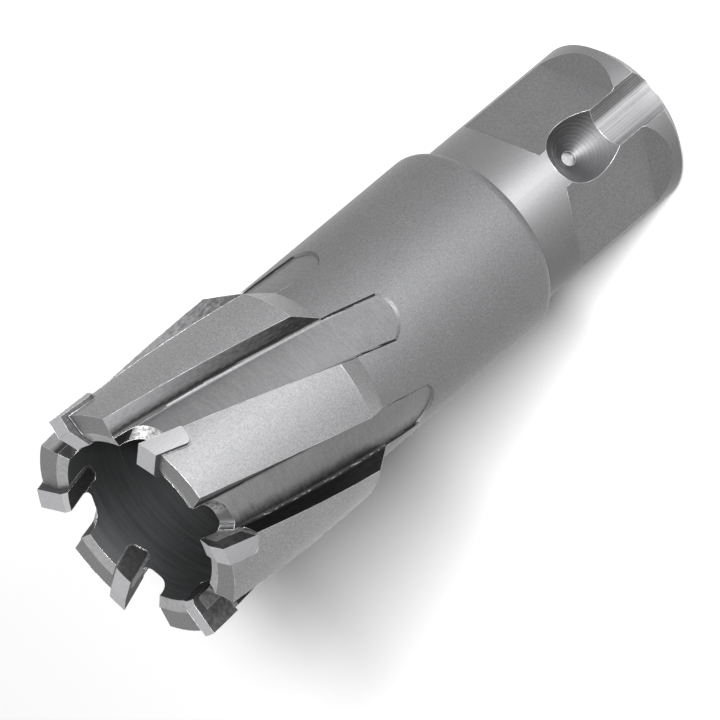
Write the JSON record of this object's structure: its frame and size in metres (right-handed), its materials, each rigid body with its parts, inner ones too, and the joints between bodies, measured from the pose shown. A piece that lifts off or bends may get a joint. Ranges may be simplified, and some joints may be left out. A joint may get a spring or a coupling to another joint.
{
  "type": "annular cutter",
  "caption": "Hollow hole cutter with brazed carbide tips, helical flutes and an 18 mm quick-change shank with two drive flats, a ball dimple and a groove.",
  "frame": {"origin": "centre of the shank's flat end face, on the tool's axis", "axes": "+Z along the tool's axis from the shank end to the cutting tips, +X through the ball dimple"},
  "size_m": [0.0244, 0.025, 0.0714],
  "materials": {
    "blasted_steel": "satin",
    "ground_carbide": "satin",
    "silver_braze": "matte"
  },
  "bodies": {
    "root": {"cutter_body": "blasted_steel", "carbide_tip_1": "ground_carbide", "carbide_tip_2": "ground_carbide", "carbide_tip_3": "ground_carbide", "carbide_tip_4": "ground_carbide", "carbide_tip_5": "ground_carbide", "carbide_tip_6": "ground_carbide", "braze_seam_1": "silver_braze", "braze_seam_2": "silver_braze", "braze_seam_3": "silver_braze", "braze_seam_4": "silver_braze", "braze_seam_5": "silver_braze", "braze_seam_6": "silver_braze"}
  },
  "joints": []
}
